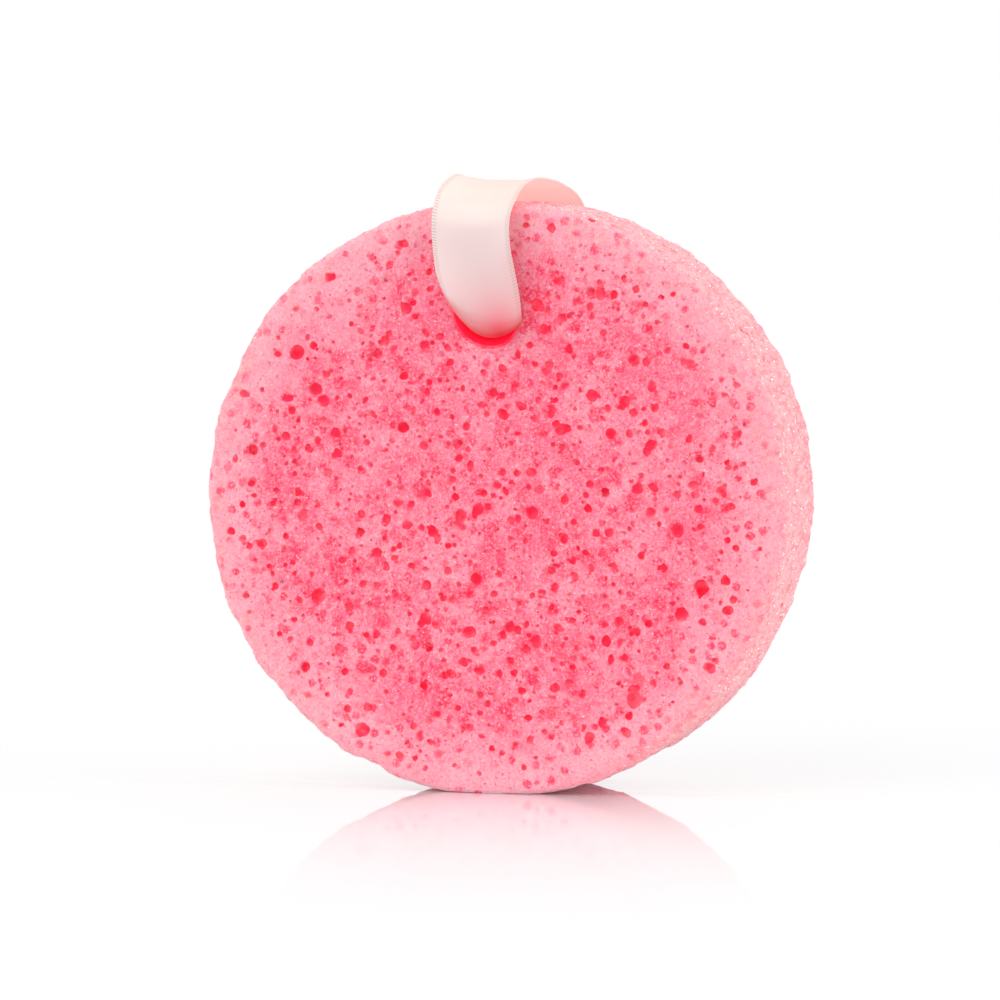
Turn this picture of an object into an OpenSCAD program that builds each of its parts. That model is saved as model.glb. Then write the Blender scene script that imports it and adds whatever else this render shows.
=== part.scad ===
// Konjac sponge: a thick round sponge of moulded konjac fibre that stands on its rim, with
// a loop of satin ribbon through a hole near the top to hang it up by.
// Millimetres. The sponge's axis lies along Y and its front faces -Y. The origin is the
// middle of the small flat foot where the rim touches the surface, and +Z is up.

/* [Sponge disc] */
// Diameter of the sponge
disc_d = 90; // [70:1:110]
// Thickness of the sponge
disc_t = 25; // [18:0.5:32]
// Rounding of the two edges between the faces and the rim
edge_r = 2.2; // [1:0.1:4]
// How far the soft rim is pressed flat where the sponge stands
foot_sag = 0.6; // [0.3:0.1:1.5]

/* [Hanging hole] */
// Diameter of the hole that the ribbon passes through
hole_d = 9.3; // [8.6:0.1:12]
// Distance from the top of the rim down to the centre of the hole
hole_inset = 16.1; // [13:0.1:22]
// Rounding of the hole's lip on each face
lip_r = 1; // [0.8:0.1:2]

/* [Open pores] */
// Number of the largest open pores in each face
face_pores = 44; // [0:1:60]
// Number of the largest open pores round the rim
rim_pores = 26; // [0:1:36]
// Diameter of the smallest pore that is cut
pore_small_d = 1.1; // [0.8:0.1:1.4]
// Diameter of the largest pore
pore_large_d = 2.1; // [1.5:0.1:2.6]
// Smooth skin left clear of pores beside each edge and round the hole
pore_margin = 3; // [2:0.5:6]

/* [Ribbon] */
// Width of the ribbon
ribbon_w = 12.7; // [9:0.1:15]
// Thickness of the ribbon
ribbon_t = 0.3; // [0.2:0.05:0.5]
// Clearance between the ribbon and the wall of the hole
bore_gap = 0.25; // [0.2:0.05:0.8]
// Clearance between the legs of the loop and the sponge's faces
leg_gap = 1.75; // [1:0.05:3]
// Height of the gap under the arch of the loop, above the top of the rim
arch_gap = 2.95; // [2:0.05:8]

/* [Lap seam] */
// Length over which the ribbon's two ends overlap
lap_l = 8; // [6:0.5:11]
// Gap between the two layers in the overlap
lap_gap = 0.12; // [0.08:0.02:0.3]
// Diameter of the sewing thread
thread_d = 0.3; // [0.2:0.05:0.5]
// Length of one stitch
stitch_l = 1.6; // [1.2:0.1:3]
// Distance from a row of stitches to the cut end beside it
seam_inset = 1.6; // [1:0.1:2.5]
// Distance from the last stitch to the ribbon's edge
seam_side = 1.4; // [0.8:0.1:3]

/* [Hidden] */
$fn = 96;

// Derived places of the disc, its foot and its hole
disc_r = disc_d / 2;
axis_z = disc_r - foot_sag;
hole_r = hole_d / 2;
hole_z = axis_z + disc_r - hole_inset;
face_y = disc_t / 2;
cut_over = disc_t / 10;

// Pores: the golden angle spreads them evenly, and a scatter unsettles their places and sizes
golden_angle = 180 * (3 - sqrt(5));
golden_ratio = (1 + sqrt(5)) / 2;
pore_sink_share = 0.3;
pore_stray_share = 0.5;
foot_clear_angle = 16;
pore_fn = 20;

// The ribbon lies in the bore as half a tube, and its middle line runs from the middle of
// the bore out of the front mouth, up the front leg and over the rim to the top of the arch
cup_r = hole_r - bore_gap - ribbon_t / 2;
leg_out = leg_gap + ribbon_t / 2;
arch_up = hole_inset + arch_gap + ribbon_t / 2;

// Stations of the front half, from the middle of the bore to the top of the arch, and of the
// back half, down again to the bore. Each row holds shares of: half the sponge's thickness,
// the leg's stand-off, the cup's radius (down), the arch's height (up), the ribbon's width
// (sideways) and the cup's curl, and then in degrees the lean of the curl and the cup's turn
// about the axis of the hole
front_shares = [
    [0.00, 0.00, 1.00, 0.000,  0.000, 1.00,   0,  -4],
    [0.55, 0.00, 1.00, 0.000,  0.000, 1.00,   0,  -8],
    [0.92, 0.00, 1.00, 0.000,  0.000, 1.00,  -5,  -5],
    [1.00, 0.44, 1.02, 0.000,  0.037, 0.79,  -7, -11],
    [1.00, 1.03, 0.74, 0.000,  0.026, 0.60, -11, -15],
    [1.00, 1.35, 0.00, 0.000, -0.066, 0.47, -25, -14],
    [1.00, 1.35, 0.00, 0.361, -0.133, 0.42, -45,   2],
    [1.00, 1.30, 0.00, 0.662, -0.159, 0.34, -41,   3],
    [1.00, 0.00, 0.00, 0.871, -0.124, 0.22, -23,   0],
    [0.58, 0.00, 0.00, 0.972, -0.055, 0.21,  -3,  -2],
    [0.00, 0.00, 0.00, 1.000,  0.000, 0.03,   0,   0]
];
back_shares = [
    [0.66, 0.00, 0.00, 0.978,  0.015, 0.02,   2,  -2],
    [1.00, 0.00, 0.00, 0.902,  0.069, 0.11,  -1,  -7],
    [1.00, 1.35, 0.00, 0.714,  0.159, 0.19, -28,  -5],
    [1.00, 1.35, 0.00, 0.429,  0.184, 0.51, -45,   7],
    [1.00, 1.32, 0.00, 0.025,  0.106, 0.73, -19,   9],
    [1.00, 0.93, 0.61, 0.000,  0.036, 0.88,  -6,  10],
    [1.00, 0.13, 0.95, 0.000,  0.002, 1.00,   0,   8],
    [0.83, 0.00, 1.00, 0.000,  0.000, 1.00,   3,   4],
    [0.55, 0.00, 1.00, 0.000,  0.000, 1.00,   0,  -1]
];

// Facets of the ribbon and of the thread
ribbon_rings = 66;
ribbon_across = 8;
steps_per_station = 6;
thread_sides = 6;
// Small steps that slopes are measured over, in stations and in shares of the ribbon's width
slope_step = 0.05;
slope_share = 0.02;
// The least curl that still counts as an arc, as a share of the cup's
flat_share = 0.001;
// Where on the loop the ribbon's inner end starts, and the share of the lap over which the
// outer end climbs onto it
lap_start_share = 0.68;
climb_share = 0.6;
// How far a stitch bends in from its holes, as a share of the thread
stitch_bend_share = 0.8;

function station(row, side) = [
    row[4] * ribbon_w + row[2] * cup_r * sin(row[7]),
    side * (row[0] * face_y + row[1] * leg_out),
    hole_z - row[2] * cup_r * cos(row[7]) + row[3] * arch_up,
    row[5] / cup_r,
    -side * row[6],
    row[7]
];
front_half = [for (row = front_shares) station(row, -1)];
back_half = [for (row = back_shares) station(row, 1)];
loop_stations = concat(front_half, back_half);
loop_count = len(loop_stations);

// A smooth closed curve through the stations
function wrap(i) = loop_stations[(i % loop_count + loop_count) % loop_count];
function blend(a, b, c, d, t) =
    (2 * b + (c - a) * t + (2 * a - 5 * b + 4 * c - d) * t * t + (3 * b - 3 * c + d - a) * t * t * t) / 2;
function along(t) =
    let (i = floor(t))
    blend(wrap(i - 1), wrap(i), wrap(i + 1), wrap(i + 2), t - i);
function place(q) = [q[0], q[1], q[2]];
function unit(v) = v / norm(v);

// A point of the ribbon's middle surface, u to the side of its middle line
function surface_point(t, u) =
    let (
        q = along(t),
        tangent = unit(place(along(t + slope_step)) - place(along(t - slope_step))),
        level = unit([1, 0, 0] - tangent * tangent[0]),
        lean = [0, sin(q[4]), cos(q[4])],
        upright = unit(lean - level * (lean * level)),
        across = level * cos(q[5]) + upright * sin(q[5]),
        inward = upright * cos(q[5]) - level * sin(q[5]),
        curl = max(q[3], flat_share / cup_r),
        turn = curl * u * 180 / PI
    )
    place(q) + across * sin(turn) / curl + inward * (1 - cos(turn)) / curl;
function surface_normal(t, u) =
    let (side = ribbon_w * slope_share)
    unit(cross(
        surface_point(t, u + side) - surface_point(t, u - side),
        surface_point(t + slope_step, u) - surface_point(t - slope_step, u)));
function ribbon_point(t, u, lift) = surface_point(t, u) + lift * surface_normal(t, u);

// Length along the loop against station number, and back again
loop_line = [for (i = [0 : loop_count * steps_per_station]) place(along(i / steps_per_station))];
function lengths_to(i, sum = 0, k = 0) =
    k == i ? [sum] : concat([sum], lengths_to(i, sum + norm(loop_line[k + 1] - loop_line[k]), k + 1));
loop_lengths = lengths_to(loop_count * steps_per_station);
loop_l = loop_lengths[len(loop_lengths) - 1];
length_to_station = [for (i = [0 : len(loop_lengths) - 1]) [loop_lengths[i], i / steps_per_station]];
function station_at(s) =
    s >= loop_l ? loop_count + lookup(s - loop_l, length_to_station) : lookup(s, length_to_station);

// The strip starts under the lap, runs once round the loop and ends on top of its start
strip_from = loop_l * lap_start_share;
strip_l = loop_l + lap_l;
climb_l = lap_l * climb_share;
layer_step = ribbon_t + lap_gap;
function ease(x) = let (c = min(max(x, 0), 1)) c * c * (3 - 2 * c);
function strip_lift(s) = layer_step * ease((s - loop_l + climb_l) / climb_l);
echo(ribbon_cut_length = strip_l);

// One ring of the strip: its outer side from left to right, then its inner side back
function ribbon_ring(s) =
    let (t = station_at(strip_from + s), lift = strip_lift(s))
    concat(
        [for (j = [0 : ribbon_across])
            ribbon_point(t, ribbon_w * (j / ribbon_across - 1 / 2), lift + ribbon_t / 2)],
        [for (j = [ribbon_across : -1 : 0])
            ribbon_point(t, ribbon_w * (j / ribbon_across - 1 / 2), lift - ribbon_t / 2)]);

// Skins a list of equal rings with triangles and closes both ends
module skin(rings) {
    sides = len(rings[0]);
    last = len(rings) - 1;
    walls = [for (i = [0 : last - 1], j = [0 : sides - 1])
        let (a = i * sides + j, b = i * sides + (j + 1) % sides)
        each [[a, b, b + sides], [a, b + sides, a + sides]]];
    // A ring folds into a ladder of pairs, so each end closes without long thin fans
    ladder = [for (j = [0 : sides / 2 - 2])
        each [[j, sides - 1 - j, j + 1], [j + 1, sides - 1 - j, sides - 2 - j]]];
    end_cap = [for (f = ladder) [f[2] + last * sides, f[1] + last * sides, f[0] + last * sides]];
    polyhedron(points = [for (ring = rings) each ring], faces = concat(walls, ladder, end_cap), convexity = 6);
}

// Solid disc with rounded edges, standing on its rim
module disc_blank() {
    translate([0, 0, axis_z]) rotate([90, 0, 0]) rotate_extrude() {
        translate([0, -face_y]) square([disc_r - edge_r, disc_t]);
        translate([0, -face_y + edge_r]) square([disc_r, disc_t - 2 * edge_r]);
        for (side = [-1, 1]) translate([disc_r - edge_r, side * (face_y - edge_r)]) circle(r = edge_r);
    }
}

// The hole, flared by a rounded lip at each face
module hanging_hole() {
    translate([0, 0, hole_z]) rotate([90, 0, 0]) {
        cylinder(r = hole_r, h = disc_t + 2 * cut_over, center = true);
        for (side = [0, 1]) mirror([0, 0, side]) rotate_extrude() difference() {
            translate([0, face_y - lip_r]) square([hole_r + lip_r, lip_r + cut_over]);
            translate([hole_r + lip_r, face_y - lip_r]) circle(r = lip_r);
        }
    }
}

// An even scatter between 0 and 1 for pore number i, with another series for each k
function scatter(i, k) = let (x = (i * i + k) * golden_ratio + i * k * sqrt(2)) x - floor(x);
function pore_r(i) = (pore_small_d + (pore_large_d - pore_small_d) * scatter(i, 0)) / 2;

// The largest open pores of one face, in a loose sunflower spiral that leaves the hole clear
module face_pore_cuts(side, series) {
    reach = disc_r - edge_r - pore_margin;
    stray = reach / sqrt(max(face_pores, 1)) * pore_stray_share;
    for (i = [0 : 1 : face_pores - 1]) {
        r = reach * sqrt((i + 1 / 2) / face_pores) - stray * scatter(i, series);
        a = i * golden_angle + series * golden_angle / 2;
        spot = [r * cos(a), r * sin(a)];
        clear = norm(spot - [0, hole_z - axis_z]) - hole_r - lip_r - pore_margin;
        if (clear > 0)
            translate([spot[0], side * (face_y - pore_r(i) * pore_sink_share), axis_z + spot[1]])
                rotate([90, 0, 0]) sphere(r = pore_r(i), $fn = pore_fn);
    }
}

// The largest open pores round the rim, away from the foot
module rim_pore_cuts() {
    reach = face_y - edge_r - pore_margin;
    for (i = [0 : 1 : rim_pores - 1]) {
        a = -90 + foot_clear_angle + (360 - 2 * foot_clear_angle) * (i + 1 / 2) / rim_pores;
        r = disc_r - pore_r(i) * pore_sink_share;
        translate([r * cos(a), reach * (2 * scatter(i, 3) - 1), axis_z + r * sin(a)])
            rotate([0, 90 - a, 0]) sphere(r = pore_r(i), $fn = pore_fn);
    }
}

module sponge_disc() {
    color("lightpink") difference() {
        disc_blank();
        hanging_hole();
        translate([-disc_r, -disc_t, -disc_t]) cube([disc_d, 2 * disc_t, disc_t]);
        face_pore_cuts(-1, 1);
        face_pore_cuts(1, 2);
        rim_pore_cuts();
    }
}

module ribbon() {
    color("mistyrose") skin([for (i = [0 : ribbon_rings - 1]) ribbon_ring(strip_l * i / (ribbon_rings - 1))]);
}

// One row of running stitches across both layers: over, through, under and through again
stitch_count = floor((ribbon_w - 2 * seam_side) / stitch_l / 2) * 2 + 1;
stitch_span = (ribbon_w - 2 * seam_side) / stitch_count;
thread_over = layer_step + (ribbon_t + thread_d) / 2;
thread_under = -(ribbon_t + thread_d) / 2;
thread_bend = thread_d * stitch_bend_share;
function stitch_path(t) = [for (k = [0 : stitch_count - 1])
    let (
        from = -ribbon_w / 2 + seam_side + k * stitch_span,
        lift = k % 2 == 0 ? thread_over : thread_under
    )
    each [
        ribbon_point(t, from + thread_bend / 2, lift),
        ribbon_point(t, from + stitch_span - thread_bend / 2, lift)
    ]];

// A round thread along a path, with a ring at every point
module thread(path) {
    last = len(path) - 1;
    skin([for (i = [0 : last])
        let (
            ahead = unit(path[min(i + 1, last)] - path[max(i - 1, 0)]),
            up = unit(cross(ahead, [0, 0, 1])),
            side = cross(up, ahead)
        )
        [for (j = [0 : thread_sides - 1])
            path[i] + thread_d / 2 * (up * cos(360 * j / thread_sides) + side * sin(360 * j / thread_sides))]]);
}

module seam_thread() {
    color("white") for (s = [seam_inset, lap_l - seam_inset])
        thread(stitch_path(station_at(strip_from + s)));
}

sponge_disc();
ribbon();
seam_thread();
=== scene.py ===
"""A konjac sponge that stands on its rim, with the satin ribbon loop that it hangs by."""
import bpy
import math
import numpy as np
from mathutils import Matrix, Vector
from mathutils.bvhtree import BVHTree


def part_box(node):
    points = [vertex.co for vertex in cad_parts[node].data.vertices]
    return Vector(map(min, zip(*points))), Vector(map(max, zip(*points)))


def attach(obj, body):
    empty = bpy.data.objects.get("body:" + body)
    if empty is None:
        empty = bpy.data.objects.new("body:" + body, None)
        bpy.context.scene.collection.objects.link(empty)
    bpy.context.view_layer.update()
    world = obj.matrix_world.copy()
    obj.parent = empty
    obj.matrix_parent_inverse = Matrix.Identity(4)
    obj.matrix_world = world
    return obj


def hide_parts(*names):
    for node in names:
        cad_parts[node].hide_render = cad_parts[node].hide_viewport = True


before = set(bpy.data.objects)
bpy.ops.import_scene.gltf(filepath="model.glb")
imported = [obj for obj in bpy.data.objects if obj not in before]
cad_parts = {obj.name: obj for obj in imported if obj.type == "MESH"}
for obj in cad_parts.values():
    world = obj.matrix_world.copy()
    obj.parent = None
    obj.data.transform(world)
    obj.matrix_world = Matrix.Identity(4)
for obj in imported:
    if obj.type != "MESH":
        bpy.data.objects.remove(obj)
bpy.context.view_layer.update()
mm = 0.001

# Sponge disc. One block of konjac fibre foam, set in a round mould and freeze dried, so its
# skin is full of burst bubbles. Its edges are soft, and its rim is pressed flat where it stands.
disc_low, disc_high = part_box("sponge_disc")
disc_r = (disc_high[0] - disc_low[0]) / 2
half_thick = (disc_high[1] - disc_low[1]) / 2
axis_z = disc_high[2] - disc_r
hole_r, lip_r, edge_r = 4.65 * mm, 1.0 * mm, 2.2 * mm
hole_drop = 16.1 * mm                  # from the top of the rim to the middle of the hole
hole_z = disc_high[2] - hole_drop

voxel = 0.42 * mm                      # grid of the block before its bubbles are cut
quiet_reach = 2.5 * mm                 # the hole and the foot stay smooth over this distance
skin_level = 0.53                      # noise value that leaves the skin where the mould had it
bore_close, bore_play = 0.15 * mm, 0.1 * mm    # how far the wall closes in on the ribbon
lip_fill, fill_reach = 1.0 * mm, 3 * mm
fill_depth, fill_blend = 1.5 * mm, 1 * mm
fill_from, fill_to, fill_fade = -12, 90, 30    # degrees about the hole, from +X upwards
clear = 3.0 * mm                       # outside all lumps of the skin
bubble_margin, corner_margin = 3.0 * mm, 2 * mm    # from the edge of a face and of the rim
foot_margin, hole_margin = 1.5 * mm, 1.2 * mm
side_odds = (0.475, 0.05, 0.475)       # bubbles on the front, on the rim and on the back
face_thinning, rim_thinning = 0.85, 0.5
spacing_share = 1.45                   # least distance of two bubbles, over their radii's sum

# Unevenness of the skin: name, size across, height, octaves of finer detail
swells = [
    ("lumps", 14 * mm, 1.0 * mm, 1),
    ("dents", 4 * mm, 0.7 * mm, 1),
    ("crumbs", 1.3 * mm, 0.6 * mm, 3),
]
# Bubbles: name, how many, smallest and largest radius, how strongly they crowd towards the
# small end, and the fineness of their balls
bubble_kinds = [
    ("large", 400, 0.55 * mm, 1.15 * mm, 1.5, 3),
    ("middling", 1200, 0.36 * mm, 0.75 * mm, 1.2, 3),
    ("small", 1600, 0.22 * mm, 0.42 * mm, 1.1, 2),
    ("fine", 2000, 0.14 * mm, 0.24 * mm, 1.0, 1),
]
rng = np.random.default_rng(2208)


def deselect():
    if bpy.context.object and bpy.context.object.mode != "OBJECT":
        bpy.ops.object.mode_set(mode="OBJECT")
    bpy.ops.object.select_all(action="DESELECT")


def make_active(piece):
    deselect()
    piece.select_set(True)
    bpy.context.view_layer.objects.active = piece


def apply_modifier(piece, kind, **settings):
    make_active(piece)
    modifier = piece.modifiers.new(kind.lower(), kind)
    for field, value in settings.items():
        setattr(modifier, field, value)
    bpy.ops.object.modifier_apply(modifier=modifier.name)


def points_of(mesh):
    points = np.empty(len(mesh.vertices) * 3)
    mesh.vertices.foreach_get("co", points)
    return points.reshape(-1, 3)


def put_points(mesh, points):
    mesh.vertices.foreach_set("co", points.ravel())
    mesh.update()


# The block starts as a copy of the CAD disc, so it has the same edges, hole and largest pores
konjac_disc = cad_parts["sponge_disc"].copy()
konjac_disc.data = konjac_disc.data.copy()
konjac_disc.name = konjac_disc.data.name = "konjac_disc"
for key in list(konjac_disc.keys()):
    del konjac_disc[key]
bpy.context.scene.collection.objects.link(konjac_disc)
make_active(konjac_disc)
konjac_disc.data.materials.clear()
bpy.ops.object.mode_set(mode="EDIT")
bpy.ops.mesh.select_all(action="SELECT")
bpy.ops.mesh.remove_doubles(threshold=0.002 * mm)
bpy.ops.object.mode_set(mode="OBJECT")
apply_modifier(konjac_disc, "REMESH", mode="VOXEL", voxel_size=voxel)

# Lumps and crumbs come from cloud noise, and fade out at the hole and at the foot
points = points_of(konjac_disc.data)
from_hole = np.hypot(points[:, 0], points[:, 2] - hole_z) - hole_r
from_foot = points[:, 2]
calm = np.clip(np.minimum(from_hole, from_foot) / quiet_reach, 0, 1)
group = konjac_disc.vertex_groups.new(name="rough")
for index, weight in enumerate(calm * calm * (3 - 2 * calm)):
    group.add([index], float(weight), "REPLACE")
for name, size, height, octaves in swells:
    clouds = bpy.data.textures.new(name, "CLOUDS")
    clouds.noise_scale = size
    clouds.noise_depth = octaves
    apply_modifier(
        konjac_disc, "DISPLACE", texture=clouds, texture_coords="LOCAL",
        strength=height, mid_level=skin_level, vertex_group="rough")
konjac_disc.vertex_groups.clear()
points = points_of(konjac_disc.data)
points[:, 2] = np.maximum(points[:, 2], 0)
# The soft wall of the hole closes in on the ribbon, and the front lip fills up beside the
# ribbon's right edge
across, upward = points[:, 0], points[:, 2] - hole_z
to_middle = np.hypot(across, upward)
in_bore = (to_middle < hole_r + bore_play) & (np.abs(points[:, 1]) < half_thick - lip_r)
closer = np.where(in_bore, (hole_r - bore_close) / to_middle, 1)
angle = np.degrees(np.arctan2(upward, across))
beside = np.clip(np.minimum(angle - fill_from, fill_to - angle) / fill_fade, 0, 1)
near_lip = np.clip(1 - (to_middle - hole_r - lip_r) / fill_reach, 0, 1)
at_front = np.clip((-points[:, 1] - half_thick + fill_depth) / fill_blend, 0, 1)
filled = np.maximum(to_middle - lip_fill * beside * near_lip * at_front, hole_r)
in_fill = (to_middle > hole_r) & (beside * near_lip * at_front > 0)
closer = np.where(in_fill, filled / to_middle, closer)
points[:, 0] *= closer
points[:, 2] = hole_z + upward * closer
put_points(konjac_disc.data, points)
skin = BVHTree.FromPolygons(
    [Vector(p) for p in points], [tuple(f.vertices) for f in konjac_disc.data.polygons])


def apart(place, r, kept, cells, cell):
    """Whether a bubble stays clear of those kept so far, and its cell in their grid."""
    key = tuple(np.floor(place / cell).astype(int))
    near = [kept[i] for dx in (-1, 0, 1) for dy in (-1, 0, 1) for dz in (-1, 0, 1)
            for i in cells.get((key[0] + dx, key[1] + dy, key[2] + dz), ())]
    return all(np.linalg.norm(other[0] - place) > (other[1] + r) * spacing_share
               for other in near), key


def scatter_bubbles(count, low, high, crowding):
    """Places and radii of bubbles that just break the skin, none touching another."""
    kept, cells = [], {}
    while len(kept) < count:
        r = low + (high - low) * rng.random() ** crowding
        sink = r * (0.7 * rng.random() - 0.7)
        turn = rng.random() * 2 * math.pi
        side = rng.choice((-1, 0, 1), p=side_odds)
        if side:
            out = (disc_r - bubble_margin) * math.sqrt(rng.random())
            thin = (out / disc_r) ** 3 * face_thinning
            across, inward = side * (half_thick + clear), Vector((0, -side, 0))
        else:
            out = disc_r + clear
            thin = rim_thinning
            across = (2 * rng.random() - 1) * (half_thick - corner_margin)
            inward = Vector((-math.cos(turn), 0, -math.sin(turn)))
        start = Vector((out * math.cos(turn), across, axis_z + out * math.sin(turn)))
        on_skin = skin.ray_cast(start, inward)[0]
        if on_skin is None:
            continue
        place = np.array(on_skin + inward * sink)
        from_hole = math.hypot(place[0], place[2] - hole_z) - hole_r - r
        if rng.random() < thin or place[2] < foot_margin or from_hole < hole_margin:
            continue
        free, key = apart(place, r, kept, cells, 3.2 * high)
        if free:
            cells.setdefault(key, []).append(len(kept))
            kept.append((place, r))
    return kept


def bud_bubbles(parents):
    """Smaller bubbles that burst into the side of larger ones."""
    kept, cells = [], {}
    for place, r in parents:
        for _ in range(rng.integers(0, 3)):
            small = r * (0.4 + 0.35 * rng.random())
            way = rng.normal(size=3)
            out = place - np.array((0, 0, axis_z))
            skin_way = (np.array((0, out[1], 0)) if abs(out[1]) > half_thick - corner_margin
                        else np.array((out[0], 0, out[2])))
            skin_way /= np.linalg.norm(skin_way)
            way -= skin_way * (way @ skin_way)
            spot = place + way / np.linalg.norm(way) * r * (0.75 + 0.3 * rng.random())
            free, key = apart(spot, small, kept, cells, 3 * mm)
            if free and spot[2] > foot_margin:
                cells.setdefault(key, []).append(len(kept))
                kept.append((spot, small))
    return kept


wave_pitch, lump_share, squash_share = 2.6, 0.1, 0.18


def cut_bubbles(name, bubbles, fineness):
    """Cuts a set of slightly squashed, lumpy balls out of the block."""
    deselect()
    bpy.ops.mesh.primitive_ico_sphere_add(subdivisions=fineness, radius=1)
    ball = bpy.context.object
    shape = points_of(ball.data)
    faces = np.array([f.vertices[:] for f in ball.data.polygons])
    bpy.data.objects.remove(ball)
    count = len(bubbles)
    places = np.array([place for place, r in bubbles])
    radii = np.array([r for place, r in bubbles])
    waves = np.einsum("vi,nki->nvk", shape, rng.normal(size=(count, 3, 3)) * wave_pitch)
    lumpy = 1 + lump_share * np.sin(waves + rng.random((count, 1, 3)) * 6.3).sum(2) / 1.5
    squash = 1 + squash_share * (2 * rng.random((count, 1, 3)) - 1)
    turns, _ = np.linalg.qr(rng.normal(size=(count, 3, 3)))
    turns *= np.sign(np.linalg.det(turns))[:, None, None]
    balls = np.einsum("nij,nvj->nvi", turns, shape[None] * lumpy[..., None] * squash)
    balls = balls * radii[:, None, None] + places[:, None]
    mesh = bpy.data.meshes.new(name)
    faces = faces[None] + (np.arange(count) * len(shape))[:, None, None]
    mesh.from_pydata(balls.reshape(-1, 3), [], faces.reshape(-1, 3))
    mesh.update()
    cutter = bpy.data.objects.new(name, mesh)
    bpy.context.scene.collection.objects.link(cutter)
    apply_modifier(konjac_disc, "BOOLEAN", operation="DIFFERENCE", solver="MANIFOLD", object=cutter)
    bpy.data.objects.remove(cutter)


for name, count, low, high, crowding, fineness in bubble_kinds:
    bubbles = scatter_bubbles(count, low, high, crowding)
    cut_bubbles(name, bubbles, fineness)
    if name in ("large", "middling"):
        cut_bubbles(name + "_buds", bud_bubbles(bubbles), fineness - 1)

# Closed bubbles inside the block and crumbs that came loose are left out: only the largest
# connected shell stays
mesh = konjac_disc.data
edges = np.empty(len(mesh.edges) * 2, dtype=np.int64)
mesh.edges.foreach_get("vertices", edges)
edges = edges.reshape(-1, 2)
shell = np.arange(len(mesh.vertices))
while True:
    lowest = np.minimum(shell[edges[:, 0]], shell[edges[:, 1]])
    before = shell.copy()
    np.minimum.at(shell, edges[:, 0], lowest)
    np.minimum.at(shell, edges[:, 1], lowest)
    shell = shell[shell]
    if np.array_equal(shell, before):
        break
names, sizes = np.unique(shell, return_counts=True)
loose = shell != names[np.argmax(sizes)]
make_active(konjac_disc)
bpy.ops.object.mode_set(mode="EDIT")
bpy.ops.mesh.select_mode(type="VERT")
bpy.ops.mesh.select_all(action="DESELECT")
bpy.ops.object.mode_set(mode="OBJECT")
mesh.vertices.foreach_set("select", loose)
bpy.ops.object.mode_set(mode="EDIT")
bpy.ops.mesh.delete(type="VERT")
bpy.ops.object.mode_set(mode="OBJECT")

# Each point keeps how deep it lies under the skin, in millimetres, for the painted red of the
# pores. The largest pits, which the skin follows, are measured from the mould's own faces, and
# the mouth of the hole gets a depth of its own, so that it is painted crimson as painted shade
# in the hole, widest at its lower left, where the ribbon leaves it open.
points = points_of(mesh)
depth = np.array([skin.find_nearest(Vector(p))[3] for p in points]) / mm
skin_play, mould_most, mouth_foot = 0.5 * mm, 0.4, 3 * mm
mouth_slope, mouth_play, crescent_share = 3, 0.1 * mm, 1.4
past_face = np.abs(points[:, 1]) - half_thick + edge_r
past_rim = np.hypot(points[:, 0], points[:, 2] - axis_z) - disc_r + edge_r
under_mould = (edge_r - np.hypot(np.maximum(past_face, 0), np.maximum(past_rim, 0))
               - np.minimum(np.maximum(past_face, past_rim), 0) - skin_play) / mm
across, upward = points[:, 0], points[:, 2] - hole_z
to_middle = np.hypot(across, upward)
# The mouth of the hole gets a depth of its own, widest at its lower left, so that it is painted
# crimson as painted shade in the hole
lower_left = np.clip(0.5 - (across + 1.2 * upward) / (1.56 * to_middle), 0, 1)
painted_mouth_crimson = mouth_slope * (hole_r + mouth_play + crescent_share * lip_r * lower_left
                          - to_middle) / mm
hollow = np.maximum(np.minimum(under_mould, mould_most), painted_mouth_crimson)
depth = np.maximum(depth, np.where(points[:, 2] > mouth_foot, hollow, 0))
mesh.attributes.new("pore_depth", "FLOAT", "POINT").data.foreach_set("value", depth)
make_active(konjac_disc)
bpy.ops.object.shade_smooth_by_angle(angle=math.radians(42))


def srgb(code):
    """Linear colour of an sRGB hex code."""
    parts = [int(code[i:i + 2], 16) / 255 for i in (1, 3, 5)]
    return [p / 12.92 if p <= 0.04045 else ((p + 0.055) / 1.055) ** 2.4 for p in parts] + [1]


def add(tree, kind, inputs=None, **settings):
    """Adds a shader node: settings are its own fields, inputs are its values or incoming sockets."""
    node = tree.nodes.new("ShaderNode" + kind)
    for field, value in settings.items():
        setattr(node, field, value)
    for name, value in (inputs or {}).items():
        if isinstance(value, bpy.types.NodeSocket):
            tree.links.new(value, node.inputs[name])
        else:
            node.inputs[name].default_value = value
    return node


# Konjac fibre foam, freeze dried: matt and a little see-through, so light turns redder with
# each bounce inside a pore. The pores are painted redder with depth, as painted light for
# this, and deep pores also glow crimson. Bubbles closed under the skin show as soft discs, the
# foam is painted paler towards the edge, as painted light that comes through it there, and
# white flecks of loose fibre, painted as glints, sparkle on the rim and face beside fine dark
# specks painted as the shade of crumbs.
foam_light, foam_pale, foam_mid = "#FFC0CC", "#FFA6B8", "#FF7090"
foam_spot, foam_deep, foam_core = "#FF486E", "#FF365C", "#FF0A38"
rim_pale, rim_mid, fibre_glint_white = "#FFB9BD", "#FF9499", "#FFFFFF"
wobble_size, wobble_reach = 1.2 * mm, 0.6 * mm
foam = bpy.data.materials.new("konjac_foam_freeze_dried")
foam.use_nodes = True
tree = foam.node_tree
bsdf = tree.nodes["Principled BSDF"]
where = add(tree, "TexCoord").outputs["Object"]


def patches(size, detail, low, high, top=1.0, place=where):
    """Cloudy patches of the foam, size across: their share rises from 0 to top."""
    noise = add(tree, "TexNoise", {"Vector": place, "Scale": 1 / size, "Detail": detail,
                                   "Roughness": 0.65})
    share = add(tree, "MapRange", {"Value": noise.outputs["Fac"], "From Min": low, "From Max": high,
                                   "To Max": top}, interpolation_type="SMOOTHSTEP")
    return share.outputs[0]


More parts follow.
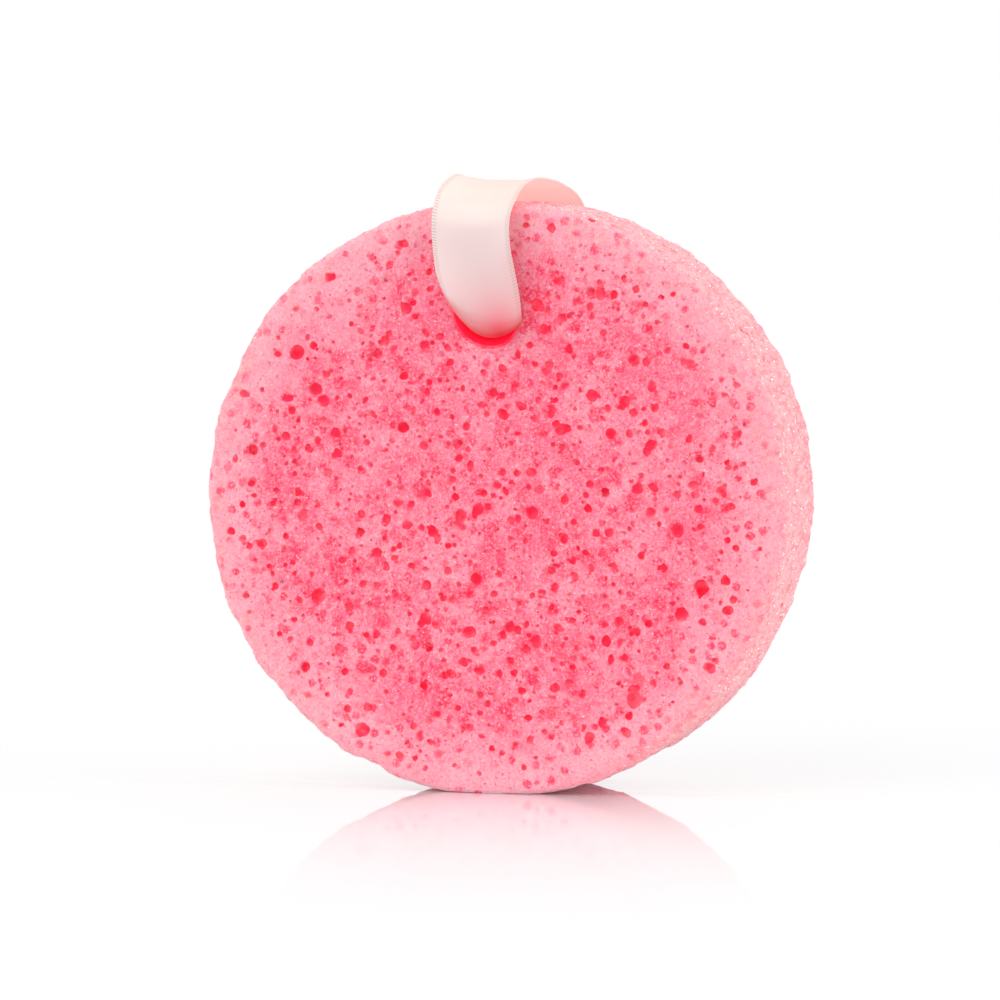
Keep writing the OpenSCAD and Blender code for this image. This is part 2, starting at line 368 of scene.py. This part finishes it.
def closed_bubbles(spacing, low, high, strength):
    """Round spots of closed bubbles, each at its own depth and so with its own strength."""
    wobble = add(tree, "TexNoise", {"Vector": where, "Scale": 1 / wobble_size, "Detail": 2})
    centred = add(tree, "VectorMath", {0: wobble.outputs["Color"], 1: (0.5, 0.5, 0.5)},
                  operation="SUBTRACT")
    moved = add(tree, "VectorMath", {0: centred.outputs[0], 3: wobble_reach}, operation="SCALE")
    place = add(tree, "VectorMath", {0: where, 1: moved.outputs[0]}, operation="ADD")
    cells = add(tree, "TexVoronoi", {"Vector": place.outputs[0], "Scale": 1 / spacing},
                feature="F1")
    own = add(tree, "SeparateColor", {0: cells.outputs["Color"]})
    spot = add(tree, "MapRange", {"Value": cells.outputs["Distance"], "From Min": high,
                                  "From Max": low, "To Max": strength},
               interpolation_type="SMOOTHSTEP")
    spot = add(tree, "Math", {0: spot.outputs[0], 1: own.outputs[0]}, operation="MULTIPLY")
    return spot.outputs[0]


separate = add(tree, "SeparateXYZ", {0: where})
from_axis = add(tree, "VectorMath", {0: where, 1: (0, 0, -axis_z)}, operation="ADD")
flat = add(tree, "VectorMath", {0: from_axis.outputs[0], 1: (1, 0, 1)}, operation="MULTIPLY")
radius = add(tree, "VectorMath", {0: flat.outputs[0]}, operation="LENGTH").outputs["Value"]
wavy = add(tree, "Math", {0: radius, 1: patches(6 * mm, 2, 0.3, 0.7, 3 * mm)}, operation="ADD")
# Painted light: the foam is painted paler towards the edge, for the light that comes through the
# thin foam there
backlit_edge = add(tree, "MapRange", {"Value": wavy.outputs[0], "From Min": disc_r - 12 * mm,
                                   "From Max": disc_r, "To Max": 0.75},
                interpolation_type="SMOOTHSTEP")
off_middle = add(tree, "Math", {0: separate.outputs[1]}, operation="ABSOLUTE")
wavy_side = add(tree, "Math", {0: off_middle.outputs[0], 1: patches(3 * mm, 3, 0.3, 0.7, 1.6 * mm)},
                operation="ADD")
inside_edges = add(tree, "MapRange", {"Value": wavy_side.outputs[0],
                                      "From Min": half_thick + 1.6 * mm,
                                      "From Max": half_thick - 1.4 * mm},
                   interpolation_type="SMOOTHSTEP")
outside = add(tree, "MapRange", {"Value": radius, "From Min": disc_r - 5 * mm,
                                 "From Max": disc_r - 2 * mm}, interpolation_type="SMOOTHSTEP")
# The rim's pale colour stops above the foot, so the shaded foot keeps the face's pinker colour:
# painted to offset the shade there, which turns the pale rim colour grey
above_shaded_foot = add(tree, "MapRange", {"Value": separate.outputs[2], "From Min": 1.5 * mm,
                                    "From Max": 6 * mm})
on_rim = add(tree, "Math", {0: inside_edges.outputs[0], 1: outside.outputs[0]},
             operation="MULTIPLY")
on_rim = add(tree, "Math", {0: on_rim.outputs[0], 1: above_shaded_foot.outputs[0]}, operation="MULTIPLY")

colour = srgb(foam_pale)
for share, over in (
    (patches(8 * mm, 4, 0.32, 0.68, 0.9), foam_mid),
    (patches(1.5 * mm, 4, 0.40, 0.75, 0.6), foam_spot),
    (closed_bubbles(5.5 * mm, 0.08, 0.50, 0.9), foam_spot),
    (closed_bubbles(3.3 * mm, 0.14, 0.50, 1.6), foam_spot),
    # painted light coming through the thin edge
    (backlit_edge.outputs[0], foam_light),
    (closed_bubbles(2.0 * mm, 0.24, 0.44, 1.4), foam_spot),
    (patches(0.4 * mm, 2, 0.35, 0.80, 0.5), foam_spot),
    (patches(0.45 * mm, 2, 0.40, 0.80, 0.7), foam_light),
    # Fine dark specks painted as the shade of crumbs, and white fibre flecks painted as glints
    (patches(0.55 * mm, 1, 0.66, 0.74, 0.7), foam_deep),
    (patches(0.38 * mm, 1, 0.70, 0.76, 0.6), fibre_glint_white),
):
    colour = add(tree, "Mix", {0: share, 6: colour, 7: srgb(over)}, data_type="RGBA").outputs[2]
drawn = add(tree, "Mapping", {"Vector": where, "Scale": (1, 0.3, 1)}).outputs[0]
rim_colour = srgb(rim_pale)
for share, over in (
    (patches(0.8 * mm, 4, 0.40, 0.62, 1.0, drawn), rim_mid),
    (patches(0.6 * mm, 4, 0.52, 0.62, 0.5), foam_mid),
    # White fibres on the rim, painted as glints
    (patches(0.4 * mm, 3, 0.60, 0.65, 1.0, drawn), fibre_glint_white),
):
    rim_colour = add(tree, "Mix", {0: share, 6: rim_colour, 7: srgb(over)},
                     data_type="RGBA").outputs[2]
colour = add(tree, "Mix", {0: on_rim.outputs[0], 6: colour, 7: rim_colour},
             data_type="RGBA").outputs[2]
depth = add(tree, "Attribute", attribute_name="pore_depth").outputs["Fac"]
paler = add(tree, "MapRange", {"Value": patches(2.5 * mm, 1, 0.35, 0.65), "To Min": 1.0,
                               "To Max": 0.6})
# Pores are painted redder with depth and crimson at their deepest: painted light for the light that
# reddens as it bounces inside them
for start, end, top, over in ((0.0, 0.35, paler.outputs[0], foam_deep), (0.9, 1.6, 1.0, foam_core)):
    share = add(tree, "MapRange", {"Value": depth, "From Min": start, "From Max": end,
                                   "To Max": top}, interpolation_type="SMOOTHSTEP")
    colour = add(tree, "Mix", {0: share.outputs[0], 6: colour, 7: srgb(over)},
                 data_type="RGBA").outputs[2]
tree.links.new(colour, bsdf.inputs["Base Color"])
# Deep pores glow crimson: a painted glow for the light that bounces about in a deep pore more than
# the renderer follows
pore_glow = add(tree, "MapRange", {"Value": depth, "From Min": 0.1, "From Max": 0.9, "To Max": 0.22},
              interpolation_type="SMOOTHSTEP")
tree.links.new(pore_glow.outputs[0], bsdf.inputs["Emission Strength"])
bsdf.inputs["Emission Color"].default_value = srgb(foam_core)
bsdf.inputs["Roughness"].default_value = 0.75
bsdf.inputs["IOR"].default_value = 1.35
bsdf.inputs["Subsurface Weight"].default_value = 0.8
bsdf.inputs["Subsurface Radius"].default_value = (1.0, 0.2, 0.26)
bsdf.inputs["Subsurface Scale"].default_value = 1.8 * mm
grain = add(tree, "TexNoise", {"Vector": where, "Scale": 1 / (0.5 * mm), "Detail": 3,
                               "Roughness": 0.65})
bump = add(tree, "Bump", {"Height": grain.outputs["Fac"], "Strength": 0.8, "Distance": 0.18 * mm})
tree.links.new(bump.outputs["Normal"], bsdf.inputs["Normal"])

konjac_disc.data.materials.clear()
konjac_disc.data.materials.append(foam)
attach(konjac_disc, "sponge")
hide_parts("sponge_disc")

# Ribbon. One strip of half-inch polyester satin, woven with firm selvedges, that lies as half
# a tube in the hole, stands up over the rim and is lapped and sewn to itself on the back leg.
ribbon_w, ribbon_t = 12.7 * mm, 0.3 * mm
bore_gap, leg_gap, arch_gap = 0.25 * mm, 1.75 * mm, 2.95 * mm    # between ribbon and sponge
cup_r = hole_r - bore_gap - ribbon_t / 2
leg_out = leg_gap + ribbon_t / 2
arch_up = disc_high[2] + arch_gap + ribbon_t / 2 - hole_z
lap_l, layer_step = 8 * mm, 0.42 * mm
lap_start_share, climb_share = 0.68, 0.6
rows_along, columns = 420, 36
cloth_share = 0.8                      # of the CAD ribbon's thickness, so that it lies inside it
t_step = 0.05                          # station numbers apart, to find the way along the strip

# Stations from the middle of the hole up the front leg to the top of the arch, and down the
# back leg again: shares of half the thickness, the leg's stand-off, the cup's radius down, the
# arch's height up, the ribbon's width sideways and the cup's curl, then in degrees the lean of
# the curl and the cup's turn about the axis of the hole
front_shares = [
    (0.00, 0.00, 1.00, 0.000, 0.000, 1.00, 0, -4),
    (0.55, 0.00, 1.00, 0.000, 0.000, 1.00, 0, -8),
    (0.92, 0.00, 1.00, 0.000, 0.000, 1.00, -5, -5),
    (1.00, 0.44, 1.02, 0.000, 0.037, 0.79, -7, -11),
    (1.00, 1.03, 0.74, 0.000, 0.026, 0.60, -11, -15),
    (1.00, 1.35, 0.00, 0.000, -0.066, 0.47, -25, -14),
    (1.00, 1.35, 0.00, 0.361, -0.133, 0.42, -45, 2),
    (1.00, 1.30, 0.00, 0.662, -0.159, 0.34, -41, 3),
    (1.00, 0.00, 0.00, 0.871, -0.124, 0.22, -23, 0),
    (0.58, 0.00, 0.00, 0.972, -0.055, 0.21, -3, -2),
    (0.00, 0.00, 0.00, 1.000, 0.000, 0.03, 0, 0),
]
back_shares = [
    (0.66, 0.00, 0.00, 0.978, 0.015, 0.02, 2, -2),
    (1.00, 0.00, 0.00, 0.902, 0.069, 0.11, -1, -7),
    (1.00, 1.35, 0.00, 0.714, 0.159, 0.19, -28, -5),
    (1.00, 1.35, 0.00, 0.429, 0.184, 0.51, -45, 7),
    (1.00, 1.32, 0.00, 0.025, 0.106, 0.73, -19, 9),
    (1.00, 0.93, 0.61, 0.000, 0.036, 0.88, -6, 10),
    (1.00, 0.13, 0.95, 0.000, 0.002, 1.00, 0, 8),
    (0.83, 0.00, 1.00, 0.000, 0.000, 1.00, 3, 4),
    (0.55, 0.00, 1.00, 0.000, 0.000, 1.00, 0, -1),
]


def station(row, side):
    turn = math.radians(row[7])
    return (row[4] * ribbon_w + row[2] * cup_r * math.sin(turn),
            side * (row[0] * half_thick + row[1] * leg_out),
            hole_z - row[2] * cup_r * math.cos(turn) + row[3] * arch_up,
            row[5] / cup_r, -side * row[6], row[7])


stations = np.array([station(row, -1) for row in front_shares]
                    + [station(row, 1) for row in back_shares])


def along(t):
    """Smooth closed curve through the stations, at station numbers t."""
    i = np.floor(t).astype(int)
    f = (t - i)[:, None]
    a, b, c, d = (stations[(i + k) % len(stations)] for k in (-1, 0, 1, 2))
    return (2 * b + (c - a) * f + (2 * a - 5 * b + 4 * c - d) * f ** 2
            + (3 * b - 3 * c + d - a) * f ** 3) / 2


def unit(v):
    return v / np.linalg.norm(v, axis=-1, keepdims=True)


def ribbon_surface(t, u):
    """Points of the ribbon's middle surface, for station numbers t and places u across it."""
    q = along(t)
    tangent = unit(along(t + t_step)[:, :3] - along(t - t_step)[:, :3])
    level = unit(np.array([1.0, 0, 0]) - tangent * tangent[:, :1])
    lean, turn = np.radians(q[:, 4]), np.radians(q[:, 5])[:, None]
    lean = np.stack([np.zeros_like(lean), np.sin(lean), np.cos(lean)], 1)
    upright = unit(lean - level * np.sum(lean * level, axis=1, keepdims=True))
    across = level * np.cos(turn) + upright * np.sin(turn)
    inward = upright * np.cos(turn) - level * np.sin(turn)
    curl = np.maximum(q[:, 3], 0.001 / cup_r)[:, None]
    side, rise = np.sin(curl * u) / curl, (1 - np.cos(curl * u)) / curl
    return q[:, None, :3] + across[:, None] * side[..., None] + inward[:, None] * rise[..., None]


def ribbon_normal(t, u):
    step = ribbon_w / 50
    over = ribbon_surface(t, u + step) - ribbon_surface(t, u - step)
    on = ribbon_surface(t + t_step, u) - ribbon_surface(t - t_step, u)
    return unit(np.cross(over, on))


fine_t = np.linspace(0, len(stations), len(stations) * 40 + 1)
line = along(fine_t)[:, :3]
run = np.concatenate([[0], np.cumsum(np.linalg.norm(np.diff(line, axis=0), axis=1))])
loop_l = run[-1]
strip_l = loop_l + lap_l
strip_from = loop_l * lap_start_share


def station_at(s):
    """Station number at length s from the start of the strip."""
    s = strip_from + s
    return np.floor(s / loop_l) * len(stations) + np.interp(s % loop_l, run, fine_t)


def lift_at(s):
    climb = np.clip((s - loop_l + lap_l * climb_share) / (lap_l * climb_share), 0, 1)
    return layer_step * climb * climb * (3 - 2 * climb)


lengths = np.linspace(0, strip_l, rows_along)
widths = np.linspace(-ribbon_w / 2, ribbon_w / 2, columns + 1)
ts = station_at(lengths)
sheet = ribbon_surface(ts, widths) + ribbon_normal(ts, widths) * lift_at(lengths)[:, None, None]

deselect()
bpy.ops.mesh.primitive_grid_add(x_subdivisions=columns, y_subdivisions=rows_along - 1, size=1)
satin_ribbon = bpy.context.object
satin_ribbon.name = satin_ribbon.data.name = "satin_ribbon"
grid = points_of(satin_ribbon.data)
col = np.rint((grid[:, 0] + 0.5) * columns).astype(int)
row = np.rint((grid[:, 1] + 0.5) * (rows_along - 1)).astype(int)
put_points(satin_ribbon.data, sheet[row, col])
apply_modifier(satin_ribbon, "SOLIDIFY", thickness=ribbon_t * cloth_share, offset=0)
make_active(satin_ribbon)
bpy.ops.object.shade_smooth_by_angle(angle=math.radians(50))

# Polyester satin, woven and undyed: smooth warp floats give a soft, long highlight, fine twill
# lines cross it at a slant, and light comes through from whatever lies behind. The lines are
# drawn 0.3 mm apart, three times as coarse as the threads, so that they show. Near the hole
# the satin and the light it lets through are painted crimson, as painted light from the hole
# that shines through the thin cloth. Where it faces down it is painted pink and lets more light
# through, as painted bounce light from the foam under it, and where it faces up it is painted
# ivory, as a painted highlight from the light above.
satin_white, highlight_ivory, satin_line, pick_shade = "#F7F5F7", "#FFFDF2", "#E4DFE0", "#BDB0AD"
satin_through, foam_glow, hole_glow_crimson = "#FFF6EC", "#FFDAD6", "#FF4E6C"
twill_spacing, selvedge_w, selvedge_pick = 0.3 * mm, 0.7 * mm, 0.4 * mm
selvedge_blend, tint_reach = 0.1 * mm, 3.4 * mm
tint_right, tint_drop = 2.0 * mm, 3.8 * mm     # middle of the tint, from that of the hole
tint_blunt = 1.4 * mm                  # keeps the tint from coming to a point
wave_bands = 0.314                     # scale at which the Wave texture has one band per unit
satin = bpy.data.materials.new("polyester_satin_woven")
satin.use_nodes = True
tree = satin.node_tree
bsdf = tree.nodes["Principled BSDF"]
# Painted light: the satin near the hole is painted crimson, for the hole's crimson shining through
# the thin cloth
from_mouth = add(tree, "VectorMath", {0: add(tree, "TexCoord").outputs["Object"], 1: (1, 0, 1),
                                      2: (-tint_right, tint_blunt, tint_drop - hole_z)},
                 operation="MULTIPLY_ADD")
from_mouth = add(tree, "VectorMath", {0: from_mouth.outputs[0]}, operation="LENGTH")
close_to_hole = add(tree, "Math", {0: from_mouth.outputs["Value"], 1: -1 / tint_reach, 2: 0.25},
                    operation="MULTIPLY_ADD")
close_to_hole = add(tree, "Math", {0: close_to_hole.outputs[0]}, operation="EXPONENT")
cloth_place = add(tree, "VectorMath", {0: add(tree, "UVMap", uv_map="UVMap").outputs[0],
                                       1: (ribbon_w, float(strip_l), 0)}, operation="MULTIPLY")
split = add(tree, "SeparateXYZ", {0: cloth_place.outputs[0]})
slant = add(tree, "Mapping", {"Vector": cloth_place.outputs[0], "Rotation": (0, 0, math.radians(27)),
                              "Scale": (1 / mm, 1 / mm, 1)})
twill = add(tree, "TexWave", {"Vector": slant.outputs[0],
                              "Scale": wave_bands * mm / twill_spacing,
                              "Distortion": 0.4, "Detail": 1}, bands_direction="X").outputs["Fac"]
from_middle = add(tree, "Math", {0: split.outputs[0], 1: ribbon_w / 2}, operation="SUBTRACT")
off_middle = add(tree, "Math", {0: from_middle.outputs[0]}, operation="ABSOLUTE")
selvedge = add(tree, "MapRange", {"Value": off_middle.outputs[0],
                                  "From Min": ribbon_w / 2 - selvedge_w - selvedge_blend,
                                  "From Max": ribbon_w / 2 - selvedge_w + selvedge_blend})
picks = add(tree, "Math", {0: split.outputs[1], 1: selvedge_pick / 2}, operation="PINGPONG")
pick_gaps = add(tree, "MapRange", {"Value": picks.outputs[0], "From Min": selvedge_pick * 0.22,
                                   "From Max": selvedge_pick * 0.08})
pick_gaps = add(tree, "Math", {0: pick_gaps.outputs[0], 1: selvedge.outputs[0]},
                operation="MULTIPLY")
lines = add(tree, "Math", {0: twill, 1: 0.65}, operation="MULTIPLY")
facing = add(tree, "SeparateXYZ", {0: add(tree, "NewGeometry").outputs["Normal"]})
# Painted highlight: faces turned up are painted ivory, for the light from above on the satin
facing_up = add(tree, "MapRange", {"Value": facing.outputs[2], "From Max": 0.8})
# Painted light: faces turned down let more light through and are painted pink, for bounce light from
# the foam under them
facing_down = add(tree, "MapRange", {"Value": facing.outputs[2], "From Min": -0.1,
                                     "From Max": -0.7})
let_through = add(tree, "Math", {0: facing_down.outputs[0], 1: 0.42, 2: 0.4},
                  operation="MULTIPLY_ADD")
colour = srgb(satin_white)
for share, over in ((facing_up.outputs[0], highlight_ivory), (lines.outputs[0], satin_line),
                    (pick_gaps.outputs[0], pick_shade),
                    (close_to_hole.outputs[0], hole_glow_crimson)):
    colour = add(tree, "Mix", {0: share, 6: colour, 7: srgb(over)}, data_type="RGBA").outputs[2]
tree.links.new(colour, bsdf.inputs["Base Color"])
bsdf.inputs["Roughness"].default_value = 0.28
bsdf.inputs["IOR"].default_value = 1.72
bsdf.inputs["Anisotropic"].default_value = 0.6
bsdf.inputs["Sheen Weight"].default_value = 0.3
bsdf.inputs["Sheen Roughness"].default_value = 0.4
# The light let through is painted pink where the satin faces down and crimson near the hole
shine = add(tree, "Mix", {0: facing_down.outputs[0], 6: srgb(satin_through), 7: srgb(foam_glow)},
            data_type="RGBA")
shine = add(tree, "Mix", {0: close_to_hole.outputs[0], 6: shine.outputs[2],
                          7: srgb(hole_glow_crimson)}, data_type="RGBA")
through = add(tree, "BsdfTranslucent", {"Color": shine.outputs[2]})
cloth = add(tree, "MixShader", {0: let_through.outputs[0], 1: bsdf.outputs[0],
                                2: through.outputs[0]})
tree.links.new(cloth.outputs[0], tree.nodes["Material Output"].inputs["Surface"])
tangent = add(tree, "Tangent", direction_type="UV_MAP", uv_map="UVMap")
tree.links.new(tangent.outputs[0], bsdf.inputs["Tangent"])
weave_height = add(tree, "Math", {0: lines.outputs[0], 1: pick_gaps.outputs[0]}, operation="ADD")
bump = add(tree, "Bump", {"Height": weave_height.outputs[0], "Strength": 0.4,
                          "Distance": 0.05 * mm}, invert=True)
tree.links.new(bump.outputs["Normal"], bsdf.inputs["Normal"])
satin_ribbon.data.materials.append(satin)
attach(satin_ribbon, "ribbon_loop")
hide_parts("ribbon")

# Seam. Two rows of running stitches in white polyester thread hold the lap on the back leg:
# over both layers, through, under and through again.
thread_d, stitch_l, seam_inset, seam_side = 0.3 * mm, 1.6 * mm, 1.6 * mm, 1.4 * mm
stitch_count = int((ribbon_w - 2 * seam_side) / stitch_l / 2) * 2 + 1
stitch_span = (ribbon_w - 2 * seam_side) / stitch_count
thread_over = layer_step + (ribbon_t + thread_d) / 2
thread_under = -(ribbon_t + thread_d) / 2
rows = []
for s in (seam_inset, lap_l - seam_inset):
    us = np.linspace(-ribbon_w / 2 + seam_side, ribbon_w / 2 - seam_side, stitch_count * 16 + 1)
    swing = np.sin((us - us[0]) / stitch_span * math.pi)
    swing = np.sign(swing) * np.abs(swing) ** 0.3
    lifts = (thread_over + thread_under) / 2 + (thread_over - thread_under) / 2 * swing
    t = station_at(np.array([s]))
    path = ribbon_surface(t, us)[0] + ribbon_normal(t, us)[0] * lifts[:, None]
    curve = bpy.data.curves.new("stitch_row", "CURVE")
    curve.dimensions = "3D"
    curve.bevel_depth = thread_d / 2
    curve.bevel_resolution = 3
    curve.use_fill_caps = True
    spline = curve.splines.new("POLY")
    spline.points.add(len(path) - 1)
    spline.points.foreach_set("co", np.column_stack([path, np.ones(len(path))]).ravel())
    row = bpy.data.objects.new("stitch_row", curve)
    bpy.context.scene.collection.objects.link(row)
    make_active(row)
    bpy.ops.object.convert(target="MESH")
    rows.append(bpy.context.object)
deselect()
for row in rows:
    row.select_set(True)
bpy.context.view_layer.objects.active = rows[0]
bpy.ops.object.join()
seam_stitches = bpy.context.object
seam_stitches.name = seam_stitches.data.name = "seam_stitches"
bpy.ops.object.shade_smooth_by_angle(angle=math.radians(50))

# Spun polyester thread: soft and white, with two plies twisted once in 0.6 mm
ply_twist = 0.6 * mm
thread = bpy.data.materials.new("polyester_thread_spun")
thread.use_nodes = True
tree = thread.node_tree
bsdf = tree.nodes["Principled BSDF"]
where = add(tree, "TexCoord").outputs["Object"]
lay = add(tree, "Mapping", {"Vector": where, "Rotation": (0, math.radians(35), 0),
                            "Scale": (1 / mm, 1 / mm, 1 / mm)})
plies = add(tree, "TexWave", {"Vector": lay.outputs[0],
                              "Scale": wave_bands * mm / (ply_twist / 2)}, bands_direction="X")
colour = add(tree, "Mix", {0: plies.outputs["Fac"], 6: srgb("#E4DDDA"), 7: srgb("#FFFFFF")},
             data_type="RGBA")
tree.links.new(colour.outputs[2], bsdf.inputs["Base Color"])
bsdf.inputs["Roughness"].default_value = 0.6
bump = add(tree, "Bump", {"Height": plies.outputs["Fac"], "Strength": 0.6, "Distance": 0.05 * mm})
tree.links.new(bump.outputs["Normal"], bsdf.inputs["Normal"])
seam_stitches.data.materials.clear()
seam_stitches.data.materials.append(thread)

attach(seam_stitches, "ribbon_loop")
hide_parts("seam_thread")

# Floor and light. The sponge stands on a white gloss board, whose mirror image of it fades
# out within a hand's breadth, in a studio with white all round. A camera sees the walls and
# the board at full white, and the sponge gets somewhat less light from them.
deselect()
bpy.ops.mesh.primitive_plane_add(size=12)
board = bpy.context.object
board.name = board.data.name = "white_board"
fade_reach, front_of_foot = 46 * mm, 12 * mm
mirror_at_foot, mirror_most, matt_white, matt_glow = 0.66, 0.8, 0.84, 0.1
gloss = bpy.data.materials.new("white_board_gloss_laminate")
gloss.use_nodes = True
tree = gloss.node_tree
tree.nodes.clear()
spot = add(tree, "SeparateXYZ", {0: add(tree, "TexCoord").outputs["Object"]})
fade = add(tree, "Math", {0: spot.outputs[1], 1: 1 / fade_reach, 2: front_of_foot / fade_reach},
           operation="MULTIPLY_ADD")
fade = add(tree, "Math", {0: fade.outputs[0]}, operation="EXPONENT")
fade = add(tree, "Math", {0: fade.outputs[0], 1: mirror_at_foot}, operation="MULTIPLY")
mirror_share = add(tree, "Math", {0: fade.outputs[0], 1: mirror_most}, operation="MINIMUM")
path = add(tree, "LightPath")
seen = add(tree, "Math", {0: path.outputs["Is Camera Ray"], 1: path.outputs["Is Glossy Ray"]},
           operation="MAXIMUM")
matt = add(tree, "BsdfDiffuse", {"Color": (matt_white, matt_white, matt_white, 1)})
shown = add(tree, "Math", {0: seen.outputs[0], 1: matt_glow}, operation="MULTIPLY")
glow = add(tree, "Emission", {"Color": (1, 1, 1, 1), "Strength": shown.outputs[0]})
white = add(tree, "AddShader", {0: matt.outputs[0], 1: glow.outputs[0]})
mirror = add(tree, "BsdfGlossy", {"Color": (1, 1, 1, 1), "Roughness": 0.03})
mixed = add(tree, "MixShader", {0: mirror_share.outputs[0], 1: white.outputs[0],
                                2: mirror.outputs[0]})
add(tree, "OutputMaterial", {"Surface": mixed.outputs[0]})
board.data.materials.append(gloss)

sky_light = 0.72
sky = bpy.data.worlds.new("studio_white")
bpy.context.scene.world = sky
sky.use_nodes = True
tree = sky.node_tree
tree.nodes.clear()
path = add(tree, "LightPath")
seen = add(tree, "Math", {0: path.outputs["Is Camera Ray"], 1: path.outputs["Is Glossy Ray"]},
           operation="MAXIMUM")
seen = add(tree, "Math", {0: seen.outputs[0], 1: path.outputs["Is Transmission Ray"]},
           operation="MAXIMUM")
strength = add(tree, "Mix", {0: seen.outputs[0], 2: sky_light, 3: 1.0})
backdrop = add(tree, "Background", {"Color": (1, 1, 1, 1), "Strength": strength.outputs[0]})
add(tree, "OutputWorld", {"Surface": backdrop.outputs[0]})
# Softboxes: name, where from, spread in degrees, power
for name, place, spread, power in (
    ("key_softbox", (-0.5, -0.8, 0.9), 50, 1.2),
    ("side_softbox", (0.9, -0.1, 0.5), 50, 0.92),
):
    lamp = bpy.data.lights.new(name, "SUN")
    lamp.angle = math.radians(spread)
    lamp.energy = power
    piece = bpy.data.objects.new(name, lamp)
    piece.location = place
    piece.rotation_euler = (-Vector(place)).to_track_quat("-Z", "Y").to_euler()
    bpy.context.scene.collection.objects.link(piece)

# Camera, fitted to the photograph: the middle of the disc lies at pixel 510.3, 495.9 of 1000,
# where one millimetre is 6.54 pixels
azimuth, elevation, distance = math.radians(14), math.radians(3), 700 * mm
disc_pixel, pixels_per_mm, frame_pixels = (510.3, 495.9), 6.54, 1000
camera = bpy.data.cameras.new("camera")
camera.sensor_width = 36
camera.lens = camera.sensor_width * pixels_per_mm * (distance / mm) / frame_pixels
back = Vector((math.sin(azimuth) * math.cos(elevation), -math.cos(azimuth) * math.cos(elevation),
               math.sin(elevation)))
right = Vector((math.cos(azimuth), math.sin(azimuth), 0))
up = back.cross(right)
aim = (Vector((0, 0, axis_z)) + right * (frame_pixels / 2 - disc_pixel[0]) / pixels_per_mm * mm
       - up * (frame_pixels / 2 - disc_pixel[1]) / pixels_per_mm * mm)
view = bpy.data.objects.new("camera", camera)
view.location = aim + back * distance
view.rotation_euler = (-back).to_track_quat("-Z", "Y").to_euler()
bpy.context.scene.collection.objects.link(view)
bpy.context.scene.camera = view
bpy.context.scene.view_settings.view_transform = "Standard"
